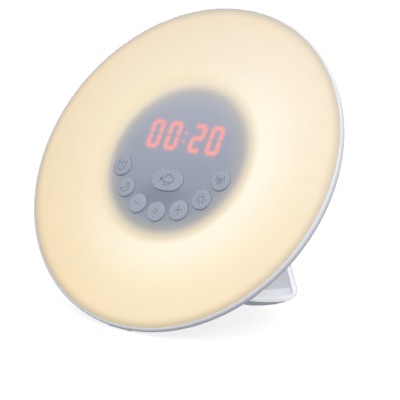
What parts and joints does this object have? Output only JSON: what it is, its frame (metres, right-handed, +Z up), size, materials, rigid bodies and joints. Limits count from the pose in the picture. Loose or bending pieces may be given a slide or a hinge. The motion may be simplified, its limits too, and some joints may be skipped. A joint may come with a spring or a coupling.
{
  "type": "sunrise alarm clock",
  "caption": "Round alarm clock that leans back on a folding stand, with a milky light cover all over its face, red digits and push keys in the middle.",
  "frame": {"origin": "on the table, under the middle of the whole clock's box", "axes": "+Z up, +X to the right as seen from the front, the face looks towards -Y and leans back towards +Y"},
  "size_m": [0.188, 0.1084, 0.1571],
  "materials": {
    "light_cover": "milky translucent plastic, lit from behind, satin",
    "screen_tint": "blue-grey tinted film, satin",
    "white_shell": "white moulded plastic, fine satin",
    "white_tray": "white moulded plastic, matt",
    "key_plastic": "blue-grey translucent plastic, satin",
    "lit_segment": "red lamp segment",
    "display_black": "dark display block, matt",
    "lamp": "yellow lamp chip",
    "rubber_grey": "dark grey rubber, matt",
    "silicone": "pale silicone rubber, matt",
    "board_white": "white coated board",
    "board_green": "green coated board",
    "dark_plastic": "dark moulded plastic",
    "pale_plastic": "natural white plastic",
    "bright_steel": "bright steel, fine brushed",
    "dark_steel": "dark coated steel",
    "contact_brass": "plated brass strip",
    "wire_red": "red wire covering",
    "wire_black": "black wire covering",
    "cone_paper": "dark pressed paper",
    "can_blue": "blue sleeve, glossy"
  },
  "bodies": {
    "case": {"front_cover": "light_cover", "screen_film": "screen_tint", "light_tray": "white_tray", "back_shell": "white_shell", "rim_foot": "silicone", "led_board": "board_white", "leds": "lamp", "led_board_screws": "bright_steel", "main_board": "board_green", "board_screws": "bright_steel", "display_block": "display_black", "display_digits": "lit_segment", "key_switches": "dark_plastic", "key_mat": "silicone", "clock_chip": "dark_plastic", "radio_chip": "dark_plastic", "crystal": "bright_steel", "capacitors": "can_blue", "wire_sockets": "pale_plastic", "led_lead": "wire_red", "speaker_lead": "wire_black", "cell_lead": "wire_red", "power_lead": "wire_black", "antenna_wire": "wire_black", "speaker_gasket": "rubber_grey", "speaker_frame": "dark_steel", "speaker_magnet": "dark_steel", "speaker_cone": "cone_paper", "speaker_screws": "bright_steel", "power_socket": "bright_steel", "socket_board": "board_green", "socket_screws": "bright_steel", "coin_cell": "bright_steel", "cell_contacts": "contact_brass", "battery_door": "white_shell", "door_screw": "bright_steel", "case_screws": "bright_steel"},
    "stand": {"stand": "white_shell", "hinge_pins": "bright_steel", "hinge_washers": "bright_steel", "stand_feet": "rubber_grey"},
    "key_alarm": {"key_alarm": "key_plastic"},
    "key_sleep": {"key_sleep": "key_plastic"},
    "key_minus": {"key_minus": "key_plastic"},
    "key_light": {"key_light": "key_plastic"},
    "key_plus": {"key_plus": "key_plastic"},
    "key_brightness": {"key_brightness": "key_plastic"},
    "key_radio": {"key_radio": "key_plastic"},
    "key_sound": {"key_sound": "key_plastic"}
  },
  "joints": [
    {"name": "stand_hinge", "type": "hinge", "parent": "case", "child": "stand", "pos_m": [0, 0.00692, 0.04489], "axis": [-1, 0, 0], "range_deg": [0, 48]},
    {"name": "key_alarm_press", "type": "slide", "parent": "case", "child": "key_alarm", "axis": [0, 0.8271, -0.5621], "range_m": [0, 0.0006], "stiffness_N_per_m": 1500},
    {"name": "key_sleep_press", "type": "slide", "parent": "case", "child": "key_sleep", "axis": [0, 0.8271, -0.5621], "range_m": [0, 0.0006], "stiffness_N_per_m": 1500},
    {"name": "key_minus_press", "type": "slide", "parent": "case", "child": "key_minus", "axis": [0, 0.8271, -0.5621], "range_m": [0, 0.0006], "stiffness_N_per_m": 1500},
    {"name": "key_light_press", "type": "slide", "parent": "case", "child": "key_light", "axis": [0, 0.8271, -0.5621], "range_m": [0, 0.0006], "stiffness_N_per_m": 1500},
    {"name": "key_plus_press", "type": "slide", "parent": "case", "child": "key_plus", "axis": [0, 0.8271, -0.5621], "range_m": [0, 0.0006], "stiffness_N_per_m": 1500},
    {"name": "key_brightness_press", "type": "slide", "parent": "case", "child": "key_brightness", "axis": [0, 0.8271, -0.5621], "range_m": [0, 0.0006], "stiffness_N_per_m": 1500},
    {"name": "key_radio_press", "type": "slide", "parent": "case", "child": "key_radio", "axis": [0, 0.8271, -0.5621], "range_m": [0, 0.0006], "stiffness_N_per_m": 1500},
    {"name": "key_sound_press", "type": "slide", "parent": "case", "child": "key_sound", "axis": [0, 0.8271, -0.5621], "range_m": [0, 0.0006], "stiffness_N_per_m": 1500}
  ]
}
